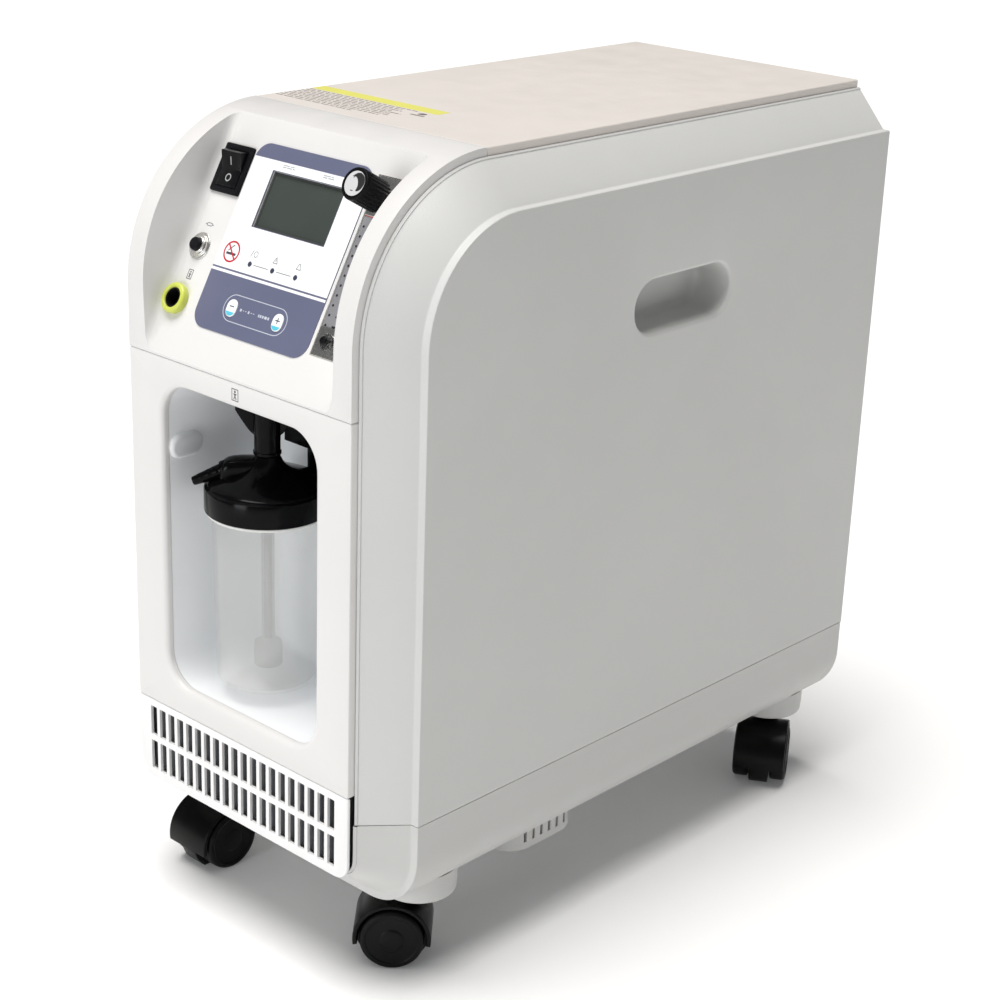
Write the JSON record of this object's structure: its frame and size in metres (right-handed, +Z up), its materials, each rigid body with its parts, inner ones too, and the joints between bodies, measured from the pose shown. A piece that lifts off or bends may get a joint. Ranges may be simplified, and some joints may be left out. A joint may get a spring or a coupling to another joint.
{
  "type": "oxygen concentrator",
  "caption": "Upright stationary oxygen concentrator on swivel castors, with a sloped control panel, flowmeter and a humidifier bottle in a front niche.",
  "frame": {"origin": "centre of the footprint at floor level, under the wheels", "axes": "+X to the right when the control panel is faced, -Y the side with the control panel, +Z up"},
  "size_m": [0.31, 0.574, 0.629],
  "materials": {
    "shell_white": "satin",
    "lid_white": "satin",
    "niche_white": "satin",
    "grille_white": "satin",
    "foam_grey": "open-cell",
    "black_plastic": "satin",
    "rocker_black": "gloss",
    "overlay_blue": "fine texture",
    "lcd_grey": "polished",
    "outlet_green": "gloss",
    "key_white": "gloss",
    "chrome": "polished",
    "clear_tube": "polished",
    "scale_grey": "satin",
    "float_red": "gloss",
    "board_green": "solder mask",
    "bottle_clear": "frosted",
    "seal_white": "smooth",
    "steel_plate": "galvanised",
    "cast_alloy": "as cast",
    "shaft_steel": "ground",
    "rubber_black": "moulded",
    "bed_white": "satin",
    "coil_black": "satin",
    "copper": "drawn",
    "hose_clear": "smooth",
    "castor_black": "satin"
  },
  "bodies": {
    "cabinet": {"base_tray": "shell_white", "side_cover_left": "shell_white", "side_cover_right": "shell_white", "top_cover": "lid_white", "control_fascia": "shell_white", "lower_front_panel": "shell_white", "humidifier_niche": "niche_white", "intake_grille": "grille_white", "intake_filter": "foam_grey", "rear_panel": "shell_white", "power_inlet": "black_plastic", "rear_filter_cover": "grille_white", "exhaust_vent": "shell_white", "membrane_overlay": "overlay_blue", "lcd_display": "lcd_grey", "rocker_bezel": "black_plastic", "breaker_body": "chrome", "outlet_ring": "outlet_green", "outlet_port": "black_plastic", "flowmeter_body": "chrome", "flow_scale_plate": "scale_grey", "flow_tube": "clear_tube", "control_board": "board_green", "humidifier_arm": "black_plastic", "chassis": "steel_plate", "compressor_crankcase": "cast_alloy", "compressor_heads": "cast_alloy", "compressor_mounts": "rubber_black", "sieve_beds": "bed_white", "product_tank": "bed_white", "valve_block": "cast_alloy", "solenoid_coils": "coil_black", "cooling_fan_frame": "coil_black", "cooling_coil": "copper", "power_board": "board_green", "gas_hoses": "hose_clear", "intake_muffler": "coil_black", "exhaust_muffler": "coil_black", "cover_screws": "shaft_steel"},
    "rocker": {"rocker_paddle": "rocker_black"},
    "breaker": {"breaker_button": "black_plastic"},
    "minus_button": {"minus_key": "key_white"},
    "plus_button": {"plus_key": "key_white"},
    "knob": {"flow_knob": "black_plastic"},
    "float": {"float_ball": "float_red"},
    "nut": {"wing_nut": "black_plastic"},
    "humidifier_head": {"humidifier_lid": "black_plastic", "diffuser_stem": "bed_white"},
    "seal": {"lid_seal": "seal_white"},
    "bottle": {"humidifier_bottle": "bottle_clear"},
    "fan": {"fan_impeller": "coil_black"},
    "crank": {"compressor_shaft": "shaft_steel"},
    "castor_front_left": {"castor_front_left": "castor_black"},
    "wheels_front_left": {"wheels_front_left": "castor_black"},
    "castor_front_right": {"castor_front_right": "castor_black"},
    "wheels_front_right": {"wheels_front_right": "castor_black"},
    "castor_rear_left": {"castor_rear_left": "castor_black"},
    "wheels_rear_left": {"wheels_rear_left": "castor_black"},
    "castor_rear_right": {"castor_rear_right": "castor_black"},
    "wheels_rear_right": {"wheels_rear_right": "castor_black"}
  },
  "joints": [
    {"name": "rocker_tip", "type": "hinge", "parent": "cabinet", "child": "rocker", "pos_m": [-0.082, -0.21638, 0.58598], "axis": [-1, 0, 0], "range_deg": [0, 30]},
    {"name": "breaker_press", "type": "slide", "parent": "cabinet", "child": "breaker", "axis": [0, 0.8746, -0.4848], "range_m": [0, 0.0025], "stiffness_N_per_m": 300},
    {"name": "minus_press", "type": "slide", "parent": "cabinet", "child": "minus_button", "axis": [0, 0.8746, -0.4848], "range_m": [0, 0.0005], "stiffness_N_per_m": 400},
    {"name": "plus_press", "type": "slide", "parent": "cabinet", "child": "plus_button", "axis": [0, 0.8746, -0.4848], "range_m": [0, 0.0005], "stiffness_N_per_m": 400},
    {"name": "flow_turn", "type": "hinge", "parent": "cabinet", "child": "knob", "pos_m": [0.08, -0.23177, 0.59989], "axis": [0, -0.8746, 0.4848], "range_deg": [0, 1530]},
    {"name": "float_rise", "type": "slide", "parent": "cabinet", "child": "float", "axis": [0, 0.4848, 0.8746], "range_m": [0, 0.073]},
    {"name": "humidifier_drop", "type": "slide", "parent": "cabinet", "child": "humidifier_head", "axis": [0, 0, -1], "range_m": [0, 0.00564]},
    {"name": "nut_turn", "type": "hinge", "parent": "humidifier_head", "child": "nut", "pos_m": [-0.023, -0.237, 0.4], "axis": [0, 0, -1], "range_deg": [0, 1440]},
    {"name": "seal_drop", "type": "slide", "parent": "humidifier_head", "child": "seal", "axis": [0, 0, -1], "range_m": [0, 0.0035]},
    {"name": "bottle_unscrew", "type": "hinge", "parent": "seal", "child": "bottle", "pos_m": [-0.023, -0.237, 0.28], "axis": [0, 0, -1], "range_deg": [0, 360]},
    {"name": "fan_spin", "type": "hinge", "parent": "cabinet", "child": "fan", "pos_m": [0, 0.13, 0.42], "axis": [0, 0, 1], "continuous": true},
    {"name": "crank_spin", "type": "hinge", "parent": "cabinet", "child": "crank", "pos_m": [0, 0.15, 0.178], "axis": [0, 1, 0], "continuous": true},
    {"name": "swivel_front_left", "type": "hinge", "parent": "cabinet", "child": "castor_front_left", "pos_m": [-0.11, -0.203, 0.07], "axis": [0, 0, 1], "continuous": true},
    {"name": "roll_front_left", "type": "hinge", "parent": "castor_front_left", "child": "wheels_front_left", "pos_m": [-0.11, -0.221, 0.025], "axis": [1, 0, 0], "continuous": true},
    {"name": "swivel_front_right", "type": "hinge", "parent": "cabinet", "child": "castor_front_right", "pos_m": [0.11, -0.203, 0.07], "axis": [0, 0, 1], "continuous": true},
    {"name": "roll_front_right", "type": "hinge", "parent": "castor_front_right", "child": "wheels_front_right", "pos_m": [0.09662, -0.21504, 0.025], "axis": [0.6691, -0.7431, 0], "continuous": true},
    {"name": "swivel_rear_left", "type": "hinge", "parent": "cabinet", "child": "castor_rear_left", "pos_m": [-0.11, 0.247, 0.07], "axis": [0, 0, 1], "continuous": true},
    {"name": "roll_rear_left", "type": "hinge", "parent": "castor_rear_left", "child": "wheels_rear_left", "pos_m": [-0.11616, 0.23009, 0.025], "axis": [0.9397, -0.342, 0], "continuous": true},
    {"name": "swivel_rear_right", "type": "hinge", "parent": "cabinet", "child": "castor_rear_right", "pos_m": [0.11, 0.247, 0.07], "axis": [0, 0, 1], "continuous": true},
    {"name": "roll_rear_right", "type": "hinge", "parent": "castor_rear_right", "child": "wheels_rear_right", "pos_m": [0.11927, 0.23157, 0.025], "axis": [0.8572, 0.515, 0], "continuous": true}
  ],
  "couplings": [
    {"joint": "nut_turn", "follows": "humidifier_drop", "rad_per_m": 4456},
    {"joint": "seal_drop", "follows": "bottle_unscrew", "m_per_rad": 0.00055704}
  ]
}
